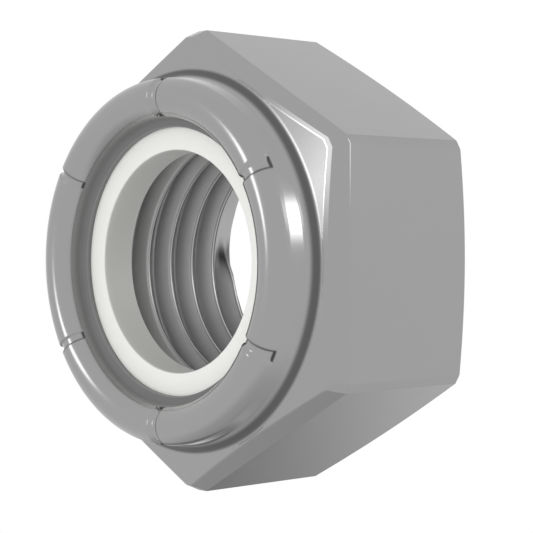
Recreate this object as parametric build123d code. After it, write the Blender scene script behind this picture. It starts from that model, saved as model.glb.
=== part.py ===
from build123d import *
from build123d.topology import SkipClean
import os
from math import ceil, cos, degrees, pi, radians, sin, tan

os.makedirs("parts", exist_ok=True)

# Thread: three eighths inch, twenty four turns to the inch, right hand
inch = 25.4
thread_major_radius = 0.375 * inch / 2
thread_pitch = inch / 24
thread_root_clearance = 0.02
thread_flank_angle = 30
thread_depth_share = 5 / 8
crest_flat_share = 1 / 8
crest_height = 4.78
groove_overlap = 0.08
groove_end_turn = 0.5
countersink_ratio = 1.08
countersink_angle = 60

# Hexagon: flats stand at 0, 60, 120 degrees and so on
across_flats = 14.1
edge_round = 0.35
bearing_radius = 6.70
bearing_chamfer_angle = 15
band_height = 0.75
band_tilt = 15
shoulder_angle = 22

# Collar rolled over the insert
overall_height = 8.33
collar_rise = 1.72
collar_radius = 6.28
bead_radius = 0.676
collar_foot_round = 0.75
collar_wall = 0.93
room_height = 1.28
seat_chamfer = 0.4
lip_drop = 0.93
lip_thickness = 0.21
lip_reach = 0.308
lip_tip_bevel = 0.06
lip_foot_bevel = 0.09

# Insert
insert_radial_clearance = 0.03
insert_grip = 0.36
insert_edge_bevel = 0.06

# Crimp marks pressed across the bead, one over each corner
mark_count = 6
mark_first_angle = 30
mark_width = 0.36
mark_depth = 0.10
mark_reach_down = 0.57

# Values that follow from the ones above
thread_root_radius = thread_major_radius + thread_root_clearance
thread_sharp_height = thread_pitch / 2 / tan(radians(thread_flank_angle))
thread_crest_radius = thread_major_radius - thread_depth_share * thread_sharp_height
groove_mouth_radius = thread_crest_radius - groove_overlap
countersink_radius = countersink_ratio * thread_major_radius
flat_distance = across_flats / 2
corner_distance = flat_distance / cos(pi / 6)
outside_margin = 1.5
outside_radius = corner_distance + outside_margin
bead_center_radius = collar_radius - bead_radius
bead_center_height = overall_height - bead_radius
bead_inner_radius = bead_center_radius - bead_radius
shoulder_height_at_flat = overall_height - collar_rise
band_foot_height = shoulder_height_at_flat - band_height
lip_top_height = overall_height - lip_drop
lip_radius = bead_inner_radius - lip_reach
room_top_height = lip_top_height - lip_thickness
room_radius = collar_radius - collar_wall
seat_height = room_top_height - room_height
insert_bore_radius = thread_crest_radius - insert_grip
mark_end_height = overall_height - mark_reach_down


def spin(lines):
    """Turn an outline drawn in radius and height about the vertical axis."""
    return revolve(Plane.XZ * make_face(lines), Axis.Z)


def shoulder_height(radius):
    """Height of the sloping shoulder at a radius."""
    return shoulder_height_at_flat + (flat_distance - radius) * tan(radians(shoulder_angle))


def hexagon(distance, height):
    """Hexagon with rounded corners at a height, flats at the given distance."""
    sharp = RegularPolygon(distance, 6, major_radius=False, rotation=30)
    return Pos(0, 0, height) * fillet(sharp.vertices(), edge_round)


# Hexagon with its upper band leaning inwards
band_rise = overall_height - band_foot_height
band_top_distance = flat_distance - band_rise * tan(radians(band_tilt))
straight_part = extrude(hexagon(flat_distance, 0), band_foot_height)
leaning_part = loft(
    [hexagon(flat_distance, band_foot_height), hexagon(band_top_distance, overall_height)],
    ruled=True,
)
blank = straight_part + leaning_part

# Turned outline: countersink, bearing face, shoulder, collar, bead, lip, room for the ring, bore
foot_center_radius = collar_radius + collar_foot_round
foot_end_radius = foot_center_radius - collar_foot_round * sin(radians(shoulder_angle))
foot_end_height = shoulder_height(foot_end_radius)
foot_center_height = foot_end_height + collar_foot_round * cos(radians(shoulder_angle))
foot_middle_turn = radians((90 + shoulder_angle) / 2)
foot_middle = (
    foot_center_radius - collar_foot_round * sin(foot_middle_turn),
    foot_center_height - collar_foot_round * cos(foot_middle_turn),
)
chamfer_rise = (outside_radius - bearing_radius) * tan(radians(bearing_chamfer_angle))
countersink_reach = (countersink_radius - thread_crest_radius) / tan(radians(countersink_angle))
outer_points = [
    (thread_crest_radius, countersink_reach),
    (countersink_radius, 0),
    (bearing_radius, 0),
    (outside_radius, chamfer_rise),
    (outside_radius, shoulder_height(outside_radius)),
    (foot_end_radius, foot_end_height),
]
room_points = [
    (bead_inner_radius, bead_center_height),
    (bead_inner_radius, lip_top_height + lip_foot_bevel),
    (bead_inner_radius - lip_foot_bevel, lip_top_height),
    (lip_radius + lip_tip_bevel, lip_top_height),
    (lip_radius, lip_top_height - lip_tip_bevel),
    (lip_radius, room_top_height),
    (room_radius, room_top_height),
    (room_radius, seat_height),
    (thread_crest_radius, seat_height),
    (thread_crest_radius, countersink_reach),
]
outline = [
    Polyline(*outer_points),
    ThreePointArc(
        (foot_end_radius, foot_end_height),
        foot_middle,
        (collar_radius, foot_center_height),
    ),
    Line((collar_radius, foot_center_height), (collar_radius, bead_center_height)),
    ThreePointArc(
        (collar_radius, bead_center_height),
        (bead_center_radius, overall_height),
        (bead_inner_radius, bead_center_height),
    ),
    Polyline(*room_points),
]
body = blank & spin(outline)

# Crimp marks: sectors of a ring that follows the bead, above the height where they end
mark_ring = Circle(bead_radius + mark_depth) - Circle(bead_radius - mark_depth)
mark_room = Pos(0, mark_end_height - bead_center_height) * Rectangle(
    4 * bead_radius, 2 * bead_radius, align=(Align.CENTER, Align.MIN)
)
mark_face = Pos(bead_center_radius, bead_center_height) * (mark_ring & mark_room)
mark_angle = degrees(mark_width / bead_center_radius)
mark = revolve(Plane.XZ * mark_face, Axis.Z, mark_angle)
for mark_place in range(mark_count):
    mark_turn = mark_first_angle + mark_place * 360 / mark_count
    body -= Rot(0, 0, mark_turn - mark_angle / 2) * mark

# Threaded hole: the groove between the crests is swept up a right-hand helix and cut away
crest_flat = thread_pitch * crest_flat_share
groove_mouth = (thread_pitch - crest_flat) / 2
widening = tan(radians(thread_flank_angle))
groove_top = groove_mouth + (thread_crest_radius - groove_mouth_radius) * widening
groove_floor = groove_mouth - (thread_root_radius - thread_crest_radius) * widening
groove_face = Plane.XZ * make_face(
    Polyline(
        (groove_mouth_radius, -groove_top),
        (thread_root_radius, -groove_floor),
        (thread_root_radius, groove_floor),
        (groove_mouth_radius, groove_top),
        close=True,
    )
)
groove_start = crest_height - ceil(crest_height / thread_pitch) * thread_pitch
groove_turns = (seat_height - groove_start) / thread_pitch + groove_end_turn
groove_path = Pos(0, 0, groove_start) * Helix(
    thread_pitch, groove_turns * thread_pitch, thread_crest_radius
)
groove = sweep(Pos(0, 0, groove_start) * groove_face, path=groove_path, is_frenet=True)
threaded = body - groove
seat_cone_radius = thread_crest_radius + seat_chamfer
seat_cone_reach = seat_cone_radius - groove_mouth_radius
threaded -= Pos(0, 0, seat_height - seat_cone_reach) * Cone(
    groove_mouth_radius,
    seat_cone_radius,
    seat_cone_reach,
    align=(Align.CENTER, Align.CENTER, Align.MIN),
)

# The crest of the thread is left in quarter turns, so the hole's wall is measured all round
quarter_count = 4
quarter_angle = 360 / quarter_count
with SkipClean():
    quarters = [
        threaded
        & Cylinder(
            2 * corner_distance,
            4 * overall_height,
            arc_size=quarter_angle,
            rotation=(0, 0, place * quarter_angle),
            align=(Align.NONE, Align.NONE, Align.CENTER),
        )
        for place in range(quarter_count)
    ]
    body = quarters[0]
    for quarter in quarters[1:]:
        body += quarter

# Nylon ring pressed between the seat and the lip
insert_radius = room_radius - insert_radial_clearance
insert = spin(
    [
        Polyline(
            (insert_bore_radius, seat_height),
            (insert_radius, seat_height),
            (insert_radius, room_top_height),
            (insert_bore_radius, room_top_height),
            close=True,
        )
    ]
)
bore_edges = insert.edges().filter_by(GeomType.CIRCLE).sort_by(SortBy.RADIUS)[:2]
insert = chamfer(bore_edges, insert_edge_bevel)
export_step(body, "parts/nut_body.step")
export_step(insert, "parts/nylon_insert.step")
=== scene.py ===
import math

import bpy
import numpy as np
from mathutils import Matrix


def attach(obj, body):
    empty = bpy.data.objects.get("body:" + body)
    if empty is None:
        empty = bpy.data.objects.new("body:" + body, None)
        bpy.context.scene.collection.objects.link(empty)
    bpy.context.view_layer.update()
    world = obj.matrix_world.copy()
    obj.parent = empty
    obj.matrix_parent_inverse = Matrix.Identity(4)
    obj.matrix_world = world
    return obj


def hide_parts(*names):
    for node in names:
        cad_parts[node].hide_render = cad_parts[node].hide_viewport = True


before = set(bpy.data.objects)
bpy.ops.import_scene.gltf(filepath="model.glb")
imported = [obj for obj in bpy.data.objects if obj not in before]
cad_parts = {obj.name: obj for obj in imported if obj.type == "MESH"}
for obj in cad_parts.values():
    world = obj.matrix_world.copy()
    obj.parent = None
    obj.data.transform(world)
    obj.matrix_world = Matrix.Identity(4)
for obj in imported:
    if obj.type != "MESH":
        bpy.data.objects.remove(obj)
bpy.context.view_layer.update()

MM = 0.001
FULL_TURN = 2 * math.pi
SECTOR = math.pi / 3

# The nut in millimetres: +Z is the thread's axis, the bearing face lies at zero
# Thread: three eighths inch, twenty four turns to the inch, with the start of its ridge at the bearing face
INCH = 25.4
PITCH = INCH / 24
MAJOR_RADIUS = 0.375 * INCH / 2
ROOT_RADIUS = MAJOR_RADIUS + 0.02
CREST_RADIUS = 4.19
CREST_HEIGHT = 4.78
CREST_TURN = math.radians(180)
CREST_HALF = PITCH / 16
FLANK_SLOPE = math.tan(math.radians(60))
RIDGE_START_NUMBER = -4
RIDGE_START_TURN = math.radians(168)
RIDGE_GROWTH = math.radians(27)
COUNTERSINK_RADIUS = 1.08 * MAJOR_RADIUS
COUNTERSINK_SLOPE = math.tan(math.radians(60))
THREAD_FOOT = 0.15
THREAD_SIDES = 360

# Hexagon: flats stand at 0, 60, 120 degrees and so on
FLAT_DISTANCE = 14.1 / 2
CORNER_ROUND = 0.35
BEARING_RADIUS = 6.70
CHAMFER_SLOPE = math.tan(math.radians(15))
BAND_FOOT = 5.86
BAND_SLOPE = math.tan(math.radians(20))
SHOULDER_AT_FLAT = 6.67
SHOULDER_ANGLE = math.radians(9)
SHOULDER_SLOPE = math.tan(SHOULDER_ANGLE)
COUNTERSINK_EDGE_ROUND = 0.04
BEARING_EDGE_ROUND = 0.5
CHAMFER_EDGE_ROUND = 0.08
BAND_FOOT_ROUND = 0.3
BAND_TOP_ROUND = 0.16

# Collar, bead, lip and the room for the ring
HEIGHT = 8.328
COLLAR_RADIUS = 6.28
BEAD_RADIUS = 0.676
FOOT_ROUND = 0.5
SEAT_HEIGHT = 5.91
SEAT_CHAMFER = 0.4
ROOM_TOP = 7.19
ROOM_RADIUS = 5.35
LIP_RADIUS = 4.62
LIP_TOP = 7.40
LIP_TIP_ROUND = 0.09
LIP_FOOT_ROUND = 0.13
BEAD_CENTER = COLLAR_RADIUS - BEAD_RADIUS
BEAD_HEIGHT = HEIGHT - BEAD_RADIUS
BEAD_INNER = BEAD_CENTER - BEAD_RADIUS
FOOT_CENTER = COLLAR_RADIUS + FOOT_ROUND
FOOT_END_RADIUS = FOOT_CENTER - FOOT_ROUND * math.sin(SHOULDER_ANGLE)
FOOT_END_HEIGHT = SHOULDER_AT_FLAT + (FLAT_DISTANCE - FOOT_END_RADIUS) * SHOULDER_SLOPE
FOOT_HEIGHT = FOOT_END_HEIGHT + FOOT_ROUND * math.cos(SHOULDER_ANGLE)

# Nylon ring
RING_BORE = 3.83
RING_RADIUS = 5.32
RING_EDGE_ROUNDS = [0.06, 0.06, 0.06, 0.07]
RING_SIDES = 288

# Crimp marks, one over each corner
MARK_COUNT = 6
MARK_FIRST = 30
MARK_DEPTH = 0.10
MARK_END_HEIGHT = 7.77
MARK_INNER_HEIGHT = 7.84
MARK_STEEP_EDGE = 0.04
MARK_END_EDGE = 0.06
# Each mark: the turn of its steep side, which way its soft side lies, its width and its soft edge
MARKS = [
    (29.9, 1, 0.34, 0.20),
    (86.9, 1, 0.34, 0.20),
    (146.2, 1, 0.28, 0.06),
    (213.8, -1, 0.28, 0.06),
    (273.1, -1, 0.34, 0.20),
    (333.4, -1, 0.34, 0.20),
]

# Angles at which the body's mesh has points: degrees with fine steps at each corner, then counts
FINE_WIDTH = 12.0
FINE_COUNT = 64
WIDE_COUNT = 22
FOOT_ROWS = 18
BEAD_ROWS = 97

# How strongly a highlight is painted at the upper edge of each corner, from 0 to 1
CORNER_HIGHLIGHT = np.array([1.0, 0.0, 0.3, 0.3, 0.0, 0.0])
EDGE_HIGHLIGHT_WIDTH = math.radians(26)
CREASE_HIGHLIGHT_WIDTH = math.radians(18)

# Painted shade and dullness in the hollows: the dark part of the arc at the collar's foot in degrees,
# depths in the mouth in millimetres
FOOT_DARK_START = 12
FOOT_DARK_RISE = 14
FOOT_DARK_END = 66
FOOT_DARK_FALL = 22
FOOT_AREA_RADIUS = 6.95
FOOT_AREA_HEIGHT = 6.5
MOUTH_DARK_DEPTH = 0.25
MOUTH_DULL_START = 0.3
MOUTH_DULL_DEPTH = 0.35
# Shares of the full painted shade and of the full dullness
FOOT_DARK = 0.75
FOOT_DULL = 0.35
MOUTH_DARK = 0.27
CREST_DARK = 0.9
RIDGE_START_DARK = 0.8
DULL_ROUGHNESS = 0.6

# Shades of grey, where 1 is white; the darkest steel is painted shade, the lightest steel a painted
# highlight, and the nylon's bore grey painted shade
PLATED_STEEL = 0.337
CUT_STEEL = 0.42
PAINTED_SHADE_STEEL = 0.04
PAINTED_HIGHLIGHT_STEEL = 0.75
NYLON = (0.86, 0.86, 0.83, 1)
NYLON_BORE_SHADE = (0.61, 0.61, 0.59, 1)


def smooth_step(value):
    """Rise from 0 to 1 with level ends."""
    part = np.clip(value, 0, 1)
    return part * part * (3 - 2 * part)


def bump_at(value, place, width):
    """Narrow hill of height 1 round a place."""
    return np.exp(-(((value - place) / width) ** 2))


def corner_half_turn(distance):
    """Half the angle that the blunted corner of a hexagon takes up, for flats at a distance."""
    flat_half = (distance - CORNER_ROUND) * math.tan(math.pi / 6)
    return math.pi / 6 - np.arctan(flat_half / distance)


def turn_samples():
    """Angles round the axis, close together at each corner of the hexagon, where the marks are too."""
    sector = 360 / MARK_COUNT
    corner_end = math.degrees(corner_half_turn(FLAT_DISTANCE))
    fine = np.linspace(-FINE_WIDTH / 2, FINE_WIDTH / 2, FINE_COUNT)
    for end in (-corner_end, corner_end):
        fine[np.abs(fine - end).argmin()] = end
    wide = np.linspace(FINE_WIDTH / 2, sector - FINE_WIDTH / 2, WIDE_COUNT + 2)[1:-1]
    one = np.concatenate([fine, wide])
    angles = [MARK_FIRST + sector * number + one for number in range(MARK_COUNT)]
    return np.radians(np.concatenate(angles))


def hexagon_radius(turn, distance):
    """Radius of a hexagon with blunted corners at angles, for flats at a distance from the axis."""
    off_flat = np.abs((turn + math.pi / 6) % SECTOR - math.pi / 6)
    flat_half = (distance - CORNER_ROUND) * math.tan(math.pi / 6)
    facet = distance * math.cos(math.pi / 6) + flat_half / 2
    on_facet = facet / np.cos(math.pi / 6 - off_flat)
    return np.minimum(distance / np.cos(off_flat), on_facet)


def rounded(before, corner, after, radius, count):
    """Arc that rounds a corner of each outline; the points are radius and height."""
    to_before = before - corner
    to_after = after - corner
    to_before /= np.linalg.norm(to_before, axis=-1, keepdims=True)
    to_after /= np.linalg.norm(to_after, axis=-1, keepdims=True)
    opening = np.arccos(np.clip((to_before * to_after).sum(-1), -1, 1))
    reach = radius / np.tan(opening / 2)
    inward = to_before + to_after
    inward /= np.linalg.norm(inward, axis=-1, keepdims=True)
    center = corner + inward * (radius / np.sin(opening / 2))[:, None]
    start = corner + to_before * reach[:, None] - center
    end = corner + to_after * reach[:, None] - center
    sweep = math.pi - opening
    rows = []
    for share in np.linspace(0, 1, count):
        first = np.sin((1 - share) * sweep) / np.sin(sweep)
        second = np.sin(share * sweep) / np.sin(sweep)
        rows.append(center + start * first[:, None] + end * second[:, None])
    return rows


def level(radius, height, size):
    """The same point of the outline at every angle."""
    return np.tile(np.array([radius, height], float), (size, 1))


def held(first, last):
    """Rows close to both ends of a straight stretch, so that it is shaded flat."""
    closest, largest_share = 0.03, 0.12
    length = np.linalg.norm(last - first, axis=-1, keepdims=True)
    step = (last - first) * np.minimum(closest / np.maximum(length, 0.001), largest_share)
    return [first + step, first + 3 * step, (first + last) / 2, last - 3 * step, last - step]


def band_top_points(turn):
    """Where the leaning band meets the sloping shoulder, found by halving the height between them."""
    low = np.full(len(turn), BAND_FOOT)
    high = np.full(len(turn), HEIGHT)
    for step in range(40):
        middle = (low + high) / 2
        band = hexagon_radius(turn, FLAT_DISTANCE - (middle - BAND_FOOT) * BAND_SLOPE)
        under = middle < SHOULDER_AT_FLAT + (FLAT_DISTANCE - band) * SHOULDER_SLOPE
        low, high = np.where(under, middle, low), np.where(under, high, middle)
    return np.stack([band, middle], 1)


def body_rows(turn):
    """Outline of the steel body at each angle, from the countersink round the outside to the seat.

    Also returns which rows lie on the band's upper edge and in the crease at its foot.
    """
    size = len(turn)
    side = hexagon_radius(turn, FLAT_DISTANCE)
    cone = level(COUNTERSINK_RADIUS - THREAD_FOOT * COUNTERSINK_SLOPE, THREAD_FOOT, size)
    mouth = level(COUNTERSINK_RADIUS, 0, size)
    bearing = level(BEARING_RADIUS, 0, size)
    chamfer_top = np.stack([side, (side - BEARING_RADIUS) * CHAMFER_SLOPE], 1)
    band_foot = np.stack([side, np.full(size, BAND_FOOT)], 1)
    band_top = band_top_points(turn)
    foot_end = level(FOOT_END_RADIUS, FOOT_END_HEIGHT, size)
    rows = [cone]
    rows += rounded(cone, mouth, bearing, COUNTERSINK_EDGE_ROUND, 5)
    starts = []
    for arc in (
        rounded(mouth, bearing, chamfer_top, BEARING_EDGE_ROUND, 4),
        rounded(bearing, chamfer_top, band_foot, CHAMFER_EDGE_ROUND, 7),
        rounded(chamfer_top, band_foot, band_top, BAND_FOOT_ROUND, 8),
        rounded(band_foot, band_top, foot_end, BAND_TOP_ROUND, 9),
    ):
        rows += held(rows[-1], arc[0])
        starts.append(len(rows))
        rows += arc
    edge_rows = range(starts[-1], len(rows))
    crease_rows = range(starts[-2] + 3, starts[-2] + 5)
    rows += held(rows[-1], foot_end)
    for bend in np.linspace(SHOULDER_ANGLE, math.pi / 2, FOOT_ROWS):
        radius = FOOT_CENTER - FOOT_ROUND * math.sin(bend)
        rows.append(level(radius, FOOT_HEIGHT - FOOT_ROUND * math.cos(bend), size))
    rows += bead_rows(turn)
    corner = level(BEAD_INNER, LIP_TOP, size)
    tip = level(LIP_RADIUS, LIP_TOP, size)
    under_tip = level(LIP_RADIUS, ROOM_TOP, size)
    rows += rounded(rows[-1], corner, tip, LIP_FOOT_ROUND, 7)
    rows += rounded(corner, tip, under_tip, LIP_TIP_ROUND, 7)
    rows += [
        under_tip,
        level(ROOM_RADIUS, ROOM_TOP, size),
        level(ROOM_RADIUS, SEAT_HEIGHT, size),
        level(ROOT_RADIUS, SEAT_HEIGHT, size),
    ]
    return rows, edge_rows, crease_rows


def mark_places(turn):
    """For each mark how far the turns lie from its steep side, in millimetres towards its soft side."""
    for steep_turn, way, width, soft_edge in MARKS:
        off = (turn - math.radians(steep_turn) + math.pi) % FULL_TURN - math.pi
        yield off * way * BEAD_CENTER, width, soft_edge


def bead_rows(turn):
    """Rolled bead with the crimp marks pressed across it."""
    across = np.zeros(len(turn))
    for side, width, soft_edge in mark_places(turn):
        steep = smooth_step(side / MARK_STEEP_EDGE + 0.5)
        across = np.maximum(across, steep * smooth_step((width - side) / soft_edge + 0.5))
    rows = []
    for bend in np.linspace(0, math.pi, BEAD_ROWS):
        height = BEAD_HEIGHT + BEAD_RADIUS * math.sin(bend)
        end_height = MARK_END_HEIGHT if bend < math.pi / 2 else MARK_INNER_HEIGHT
        along = smooth_step((height - end_height) / MARK_END_EDGE + 0.5)
        reach = BEAD_RADIUS - MARK_DEPTH * across * along
        bead_radius = BEAD_CENTER + reach * math.cos(bend)
        bead_height = BEAD_HEIGHT + reach * math.sin(bend)
        rows.append(np.stack([bead_radius, bead_height], 1))
    return rows


def mark_shade_lines(turn, radius, height):
    """Fine lines of painted shade along the steep side and the ends of each mark, from 0 to 1."""
    side_offset, side_width = -0.012, 0.045
    end_offset, end_width = -0.01, 0.025
    outside = radius > BEAD_CENTER
    on_mark = (radius > BEAD_INNER) & (height > MARK_END_HEIGHT - 0.02)
    on_mark &= outside | (height > MARK_INNER_HEIGHT)
    outer_end = bump_at(height, MARK_END_HEIGHT + end_offset, end_width) * outside
    inner_end = bump_at(height, MARK_INNER_HEIGHT + end_offset, end_width) * (radius < BEAD_CENTER)
    ends = np.maximum(outer_end, inner_end)
    shade_line = np.zeros(radius.shape)
    for side, width, soft_edge in mark_places(turn):
        in_width = (side > 0) & (side < width) & (radius > BEAD_INNER)
        shade_line = np.maximum(shade_line, np.where(on_mark, bump_at(side, side_offset, side_width), 0))
        shade_line = np.maximum(shade_line, np.where(in_width, ends, 0))
    return shade_line


def surface_values(turn, rows, edge_rows, crease_rows):
    """How much shade is painted, how dull and how much highlight is painted at each point of the body, from
    0 to 1.
    """
    points = np.stack(rows, 0)
    radius, height = points[..., 0], points[..., 1]

    # The foot of the collar, where shade is painted and the steel is duller, in degrees round its arc from
    # the shoulder up to the wall
    bend = np.degrees(np.arctan2(FOOT_CENTER - radius, FOOT_HEIGHT - height))
    on_foot = (radius > COLLAR_RADIUS - 0.01) & (radius < FOOT_AREA_RADIUS)
    on_foot &= (height > FOOT_AREA_HEIGHT) & (height < FOOT_HEIGHT + 0.01)
    rise = smooth_step((bend - FOOT_DARK_START) / FOOT_DARK_RISE)
    fall = smooth_step((FOOT_DARK_END - bend) / FOOT_DARK_FALL)
    foot = np.where(on_foot, rise * fall, 0)

    # The mouth inside the bead, above the ring, with shade painted darker down its wall and duller steel
    inside = (radius < BEAD_CENTER) & (height > ROOM_TOP - 0.01)
    above_tip = radius > LIP_RADIUS + 0.04
    wall = np.where(inside & above_tip, smooth_step((BEAD_HEIGHT - height) / MOUTH_DARK_DEPTH), 0)
    dull_depth = BEAD_HEIGHT + MOUTH_DULL_START - height
    mouth = np.where(inside, smooth_step(dull_depth / MOUTH_DULL_DEPTH), 0)

    # Painted shade: the collar's foot, the mouth's upper wall and lines along the crimp marks
    shade_line = mark_shade_lines(turn, radius, height)
    painted_shade = np.maximum(np.maximum(FOOT_DARK * foot, MOUTH_DARK * wall), shade_line)
    dull = np.maximum(mouth, FOOT_DULL * foot)

    # Painted highlights along the band's upper edge near the corners, and in the crease on one side of them
    highlight_strength = CORNER_HIGHLIGHT[np.floor(turn / SECTOR).astype(int) % 6]
    off_corner = turn % SECTOR - math.pi / 6
    painted_highlight = np.zeros(radius.shape)
    painted_highlight[edge_rows] = smooth_step(1 - np.abs(off_corner) / EDGE_HIGHLIGHT_WIDTH) * highlight_strength
    painted_highlight[crease_rows] = smooth_step(1 + off_corner / CREASE_HIGHLIGHT_WIDTH) * (off_corner < 0) * highlight_strength**2
    return painted_shade, dull, painted_highlight


def ridge_place(turn, height):
    """How far points of the thread lie above the nearest crest, and how far it has grown, from 0 to 1."""
    climb = height - CREST_HEIGHT - PITCH * (turn - CREST_TURN) / FULL_TURN
    ridge = np.round(climb / PITCH)
    turn_up = (ridge - RIDGE_START_NUMBER) * FULL_TURN + turn - RIDGE_START_TURN
    return climb - ridge * PITCH, smooth_step(turn_up / RIDGE_GROWTH)


def thread_radius(turn, height):
    """Radius of the wall of the threaded hole, with the start of the ridge near the bearing face."""
    above_crest, grown = ridge_place(turn, height)
    profile = CREST_RADIUS + np.maximum(np.abs(above_crest) - CREST_HALF, 0) * FLANK_SLOPE
    wall = ROOT_RADIUS - grown * (ROOT_RADIUS - np.minimum(profile, ROOT_RADIUS))
    countersink = COUNTERSINK_RADIUS - height * COUNTERSINK_SLOPE
    seat = CREST_RADIUS + SEAT_CHAMFER + height - SEAT_HEIGHT
    return np.maximum(np.maximum(wall, countersink), seat)


def thread_shade(turn, height):
    """How much shade is painted on the thread, along the far edge of the crest and where the ridge starts.
    """
    edge_rise, edge_reach, edge_fall = 0.03, 0.12, 0.04
    start_reach, start_fall = 0.35, 0.1
    above_crest, grown = ridge_place(turn, height)
    far_edge = smooth_step(-above_crest / edge_rise) * smooth_step((above_crest + edge_reach) / edge_fall)
    # Highest, at 1, where a third of the ridge has grown
    growing = 27 / 4 * grown * (1 - grown) ** 2
    start = growing * smooth_step((start_reach - np.abs(above_crest)) / start_fall)
    return np.maximum(CREST_DARK * far_edge * grown, RIDGE_START_DARK * start)


def thread_rows(turn):
    """Wall of the threaded hole in rows that climb with the thread, so its edges stay sharp."""
    flank = (ROOT_RADIUS - CREST_RADIUS) / FLANK_SLOPE
    crest_end = CREST_HALF
    root_start = CREST_HALF + flank
    root_end = PITCH - CREST_HALF - flank
    one = np.concatenate(
        [
            np.linspace(-crest_end, crest_end, 7),
            np.linspace(crest_end, root_start, 9)[1:],
            np.linspace(root_start, root_end, 3)[1:],
            np.linspace(root_end, PITCH - crest_end, 9)[1:-1],
        ]
    )
    rows = []
    for number in range(-6, 2):
        for step in one:
            height = CREST_HEIGHT + number * PITCH + step + PITCH * (turn - CREST_TURN) / FULL_TURN
            if height.max() < THREAD_FOOT or height.min() > SEAT_HEIGHT:
                continue
            height = np.clip(height, THREAD_FOOT, SEAT_HEIGHT)
            rows.append(np.stack([thread_radius(turn, height), height], 1))
    return rows


def ring_rows(turn):
    """Outline of the nylon ring."""
    size = len(turn)
    corners = [
        level(RING_BORE, SEAT_HEIGHT, size),
        level(RING_RADIUS, SEAT_HEIGHT, size),
        level(RING_RADIUS, ROOM_TOP, size),
        level(RING_BORE, ROOM_TOP, size),
    ]
    rows = []
    for number, corner in enumerate(corners):
        before, after = corners[number - 1], corners[(number + 1) % 4]
        rows += rounded(before, corner, after, RING_EDGE_ROUNDS[number], 6)
    between = [rows[-1] + (rows[0] - rows[-1]) * share for share in (0.25, 0.5, 0.75)]
    return rows + between + rows[:1]


def turned_mesh(name, turn, rows, values, closed=True):
    """Mesh from outlines at angles round the axis, with named values at its points."""
    outline = np.stack(rows, 0)
    radius, height = outline[..., 0], outline[..., 1]
    points = np.stack([radius * np.cos(turn), radius * np.sin(turn), height], -1) * MM
    count, size = radius.shape
    index = np.arange(count * size).reshape(count, size)
    if closed:
        beside = np.roll(index, -1, axis=1)
        faces = np.stack([index[:-1], beside[:-1], beside[1:], index[1:]], -1)
    else:
        faces = np.stack([index[:-1, :-1], index[:-1, 1:], index[1:, 1:], index[1:, :-1]], -1)
    mesh = bpy.data.meshes.new(name)
    mesh.from_pydata(points.reshape(-1, 3), [], faces.reshape(-1, 4).tolist())
    mesh.validate()
    mesh.update()
    mesh.polygons.foreach_set("use_smooth", np.ones(len(mesh.polygons), bool))
    for value_name, value in values.items():
        attribute = mesh.attributes.new(value_name, "FLOAT", "POINT")
        attribute.data.foreach_set("value", np.asarray(value, float).ravel())
    piece = bpy.data.objects.new(name, mesh)
    bpy.context.collection.objects.link(piece)
    return piece


def shader(name, settings):
    """New material with its main shader and the values that are the same all over."""
    material = bpy.data.materials.new(name)
    material.use_nodes = True
    main = material.node_tree.nodes["Principled BSDF"]
    for socket, value in settings.items():
        main.inputs[socket].default_value = value
    return material, material.node_tree, main


def node(tree, kind, settings=None, **links):
    """New node with its values and with the sockets that feed it."""
    new = tree.nodes.new(kind)
    for key, value in (settings or {}).items():
        if key in new.inputs:
            new.inputs[key].default_value = value
        else:
            setattr(new, key, value)
    for key, source in links.items():
        tree.links.new(source, new.inputs[key])
    return new


def surface_value(tree, name):
    """A value that the mesh holds at its points."""
    return node(tree, "ShaderNodeAttribute", {"attribute_name": name}).outputs["Fac"]


def calculate(tree, operation, first, second):
    """One step of arithmetic on two values, each a number or a socket."""
    step = node(tree, "ShaderNodeMath", {"operation": operation})
    for place, value in enumerate((first, second)):
        if isinstance(value, (int, float)):
            step.inputs[place].default_value = value
        else:
            tree.links.new(value, step.inputs[place])
    return step.outputs[0]


def mixed(tree, share, first, second):
    """Colour that goes from the first to the second with a share; the first may be a socket."""
    mix = node(tree, "ShaderNodeMix", {"data_type": "RGBA"})
    share_socket, first_socket, second_socket = mix.inputs[0], mix.inputs[6], mix.inputs[7]
    tree.links.new(share, share_socket)
    if isinstance(first, tuple):
        first_socket.default_value = first
    else:
        tree.links.new(first, first_socket)
    second_socket.default_value = second
    return mix.outputs[2]


def grained(tree, main, scale, detail, strength, distance):
    """Fine grain on a surface."""
    place = node(tree, "ShaderNodeTexCoord").outputs["Object"]
    grain = node(tree, "ShaderNodeTexNoise", {"Scale": scale, "Detail": detail}, Vector=place)
    settings = {"Strength": strength, "Distance": distance}
    bump = node(tree, "ShaderNodeBump", settings, Height=grain.outputs["Fac"])
    tree.links.new(bump.outputs["Normal"], main.inputs["Normal"])


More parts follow.
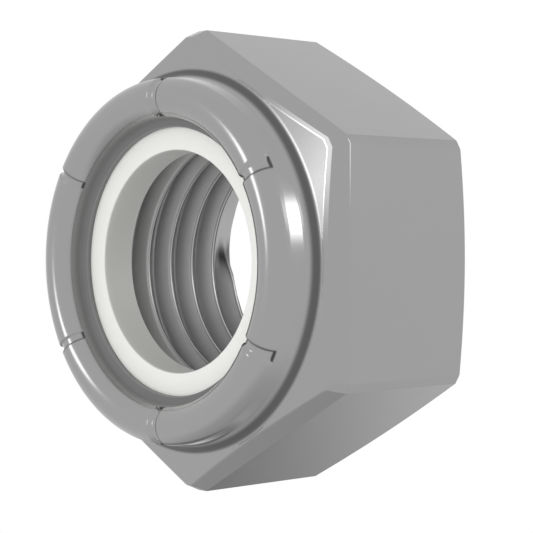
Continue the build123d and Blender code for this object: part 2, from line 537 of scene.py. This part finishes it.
def steel_material(name, rough_low, rough_high, clear):
    """Steel with a fine grain, dull and with painted shade in the hollows, and with painted highlights on
    some edges.
    """
    material, tree, main = shader(name, {"Metallic": 1.0})
    grained(tree, main, 9000.0, 3.0, 0.03, 0.00002)
    place = node(tree, "ShaderNodeTexCoord").outputs["Object"]
    cloud = node(tree, "ShaderNodeTexNoise", {"Scale": 900.0, "Detail": 4.0}, Vector=place)
    settings = {"From Min": 0.3, "From Max": 0.7, "To Min": rough_low, "To Max": rough_high}
    rough = node(tree, "ShaderNodeMapRange", settings, Value=cloud.outputs["Fac"]).outputs["Result"]
    dull = calculate(tree, "MULTIPLY", surface_value(tree, "dull"), DULL_ROUGHNESS)
    tree.links.new(calculate(tree, "ADD", rough, dull), main.inputs["Roughness"])
    colour = (clear, clear, clear, 1)
    # Painted shade darkens the colour and painted highlights lighten it
    for value_name, shade in (("painted_shade", PAINTED_SHADE_STEEL), ("painted_highlight", PAINTED_HIGHLIGHT_STEEL)):
        colour = mixed(tree, surface_value(tree, value_name), colour, (shade, shade, shade, 1))
    tree.links.new(colour, main.inputs["Base Color"])
    return material


def nylon_material():
    """Natural nylon: off-white, with grey shade painted in the bore, and a little light goes through it."""
    material, tree, main = shader(
        "natural_nylon",
        {
            "Roughness": 0.42,
            "Subsurface Weight": 0.35,
            "Subsurface Radius": (1.0, 1.0, 0.9),
            "Subsurface Scale": 0.0006,
        },
    )
    grained(tree, main, 2500.0, 4.0, 0.05, 0.00003)
    colour = mixed(tree, surface_value(tree, "painted_bore_shade"), NYLON, NYLON_BORE_SHADE)
    tree.links.new(colour, main.inputs["Base Color"])
    return material


# Steel body, with sharp upright edges beside its blunted corners
turn_body = turn_samples()
outline_rows, edge_rows, crease_rows = body_rows(turn_body)
# Painted shade, dullness and painted highlights of the steel, held at the mesh's points
painted_shade, dull, painted_highlight = surface_values(turn_body, outline_rows, edge_rows, crease_rows)
body = turned_mesh("nut_body_visual", turn_body, outline_rows, {"painted_shade": painted_shade, "dull": dull, "painted_highlight": painted_highlight})
off_corner = np.abs(turn_body % SECTOR - math.pi / 6)
corner_ends = np.abs(off_corner - corner_half_turn(FLAT_DISTANCE)) < 0.0001
side_rows = [row for row, points in enumerate(outline_rows) if points[:, 0].min() > BEARING_RADIUS + 0.1]
sharp = np.zeros((len(outline_rows), len(turn_body)), bool)
sharp[np.ix_(side_rows, np.flatnonzero(corner_ends))] = True
sharp = sharp.ravel()
row_step = len(turn_body)
for edge in body.data.edges:
    low, high = sorted(edge.vertices)
    edge.use_edge_sharp = bool(sharp[low] and sharp[high] and high - low == row_step)
body.data.materials.append(steel_material("plated_steel", 0.17, 0.21, PLATED_STEEL))

# Wall of the threaded hole
turn_thread = np.linspace(0, FULL_TURN, THREAD_SIDES + 1)
wall_rows = thread_rows(turn_thread)
# Shade painted along the far edge of each crest and where the ridge starts
thread_painted_shade = [thread_shade(turn_thread, row[:, 1]) for row in wall_rows]
thread = turned_mesh("thread_visual", turn_thread, wall_rows, {"painted_shade": thread_painted_shade}, closed=False)
thread.data.materials.append(steel_material("cut_steel", 0.40, 0.48, CUT_STEEL))

# Nylon ring
turn_ring = np.linspace(0, FULL_TURN, RING_SIDES + 1)[:-1]
insert_rows = ring_rows(turn_ring)
# The ring's bore, where grey shade is painted
in_bore = [row[:, 0] < RING_BORE + 0.02 for row in insert_rows]
ring = turned_mesh("nylon_ring_visual", turn_ring, insert_rows, {"painted_bore_shade": in_bore})
ring.data.materials.append(nylon_material())

# The steel in the photograph shows no reflection of itself, so reflected rays don't see the body
body.visible_glossy = False
for piece in (body, thread, ring):
    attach(piece, "root")
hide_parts("nut_body")
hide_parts("nylon_insert")

# Camera, fitted to the photograph; its place is in millimetres
CAMERA_PLACE = (44.85, 1.04, 45.96)
CAMERA_FORWARD = (-0.72028, -0.02029, -0.69339)
CAMERA_UP = (-0.01565, 0.99979, -0.01300)
FOCAL_PIXELS = 1721.23
PICTURE_PIXELS = 533
SENSOR_WIDTH = 36.0
forward = np.array(CAMERA_FORWARD) / np.linalg.norm(CAMERA_FORWARD)
sideways = np.cross(forward, CAMERA_UP)
sideways /= np.linalg.norm(sideways)
upward = np.cross(sideways, forward)
lens = bpy.data.cameras.new("camera")
lens.sensor_width = SENSOR_WIDTH
lens.lens = SENSOR_WIDTH * FOCAL_PIXELS / PICTURE_PIXELS
lens.clip_start = 0.001
camera = bpy.data.objects.new("camera", lens)
bpy.context.collection.objects.link(camera)
camera_axes = Matrix(np.stack([sideways, upward, -forward], 1).tolist()).to_4x4()
camera.matrix_world = Matrix.Translation([value * MM for value in CAMERA_PLACE]) @ camera_axes
bpy.context.scene.camera = camera
bpy.context.scene.view_settings.view_transform = "Standard"

# World: plain light from all sides, with some brighter and darker places for the reflections
world = bpy.data.worlds.new("surroundings")
bpy.context.scene.world = world
world.use_nodes = True
world_tree = world.node_tree
toward = node(world_tree, "ShaderNodeTexCoord").outputs["Generated"]


def direction(right, up, near):
    """Direction in the room from its parts to the right, upwards and towards the viewer's place."""
    parts = right * sideways + up * upward - near * forward
    return parts / np.linalg.norm(parts)


def along(axis):
    """How far each direction of the room points along an axis."""
    product = node(world_tree, "ShaderNodeVectorMath", {"operation": "DOT_PRODUCT"}, Vector=toward)
    product.inputs[1].default_value = tuple(axis)
    return product.outputs["Value"]


def ramp(value, low, high, first, last):
    """Smooth change from the first number to the last while a value goes from low to high."""
    settings = {
        "interpolation_type": "SMOOTHSTEP",
        "From Min": low,
        "From Max": high,
        "To Min": first,
        "To Max": last,
    }
    return node(world_tree, "ShaderNodeMapRange", settings, Value=value).outputs["Result"]


def round_zone(center, inner, outer, strength):
    """Round zone of the room, full inside one angle and gone outside another."""
    low, high = math.cos(math.radians(outer)), math.cos(math.radians(inner))
    return ramp(along(center), low, high, 0, strength)


def panel(center, width, height, edge, strength):
    """Upright rectangular panel of light in the room."""
    beside = np.cross(upward, center)
    beside /= np.linalg.norm(beside)
    above = np.cross(center, beside)
    share = ramp(along(center), 0.2, 0.5, 0, strength)
    for axis, half in ((beside, width), (above, height)):
        off = calculate(world_tree, "ABSOLUTE", along(axis), 0)
        share = calculate(world_tree, "MULTIPLY", share, ramp(off, half - edge, half + edge, 1, 0))
    return share


LEVEL = 1.0
lights = [
    # Highlight on the collar at the right, with its soft surround
    panel(direction(0.93, 0.33, 0.05), 0.15, 0.14, 0.06, 3.5),
    round_zone(direction(0.82, 0.42, 0.39), 4, 10, 1.07),
    # Strips on the bead and the bright corner of the shoulder
    panel(direction(-0.90, 0.24, 0.37), 0.10, 0.19, 0.07, 3.2),
    # Shade on the lower right flat, on its band, and on the upper right flat
    round_zone(direction(0.2, -0.6, -0.77), 10, 45, -0.14),
    round_zone(direction(-0.05, -0.56, -0.83), 8, 20, -0.48),
    round_zone(direction(0.06, -0.95, -0.3), 15, 50, -0.24),
    round_zone(direction(0.27, 0.5, -0.82), 10, 50, -0.10),
]
total = LEVEL
for light in lights:
    total = calculate(world_tree, "ADD", light, total)
back = world_tree.nodes["Background"]
world_tree.links.new(total, back.inputs["Color"])
white = node(world_tree, "ShaderNodeBackground", {"Color": (1, 1, 1, 1), "Strength": 1.0})
path = node(world_tree, "ShaderNodeLightPath")
mix = node(world_tree, "ShaderNodeMixShader")
world_tree.links.new(path.outputs["Is Camera Ray"], mix.inputs[0])
world_tree.links.new(back.outputs[0], mix.inputs[1])
world_tree.links.new(white.outputs[0], mix.inputs[2])
world_tree.links.new(mix.outputs[0], world_tree.nodes["World Output"].inputs["Surface"])
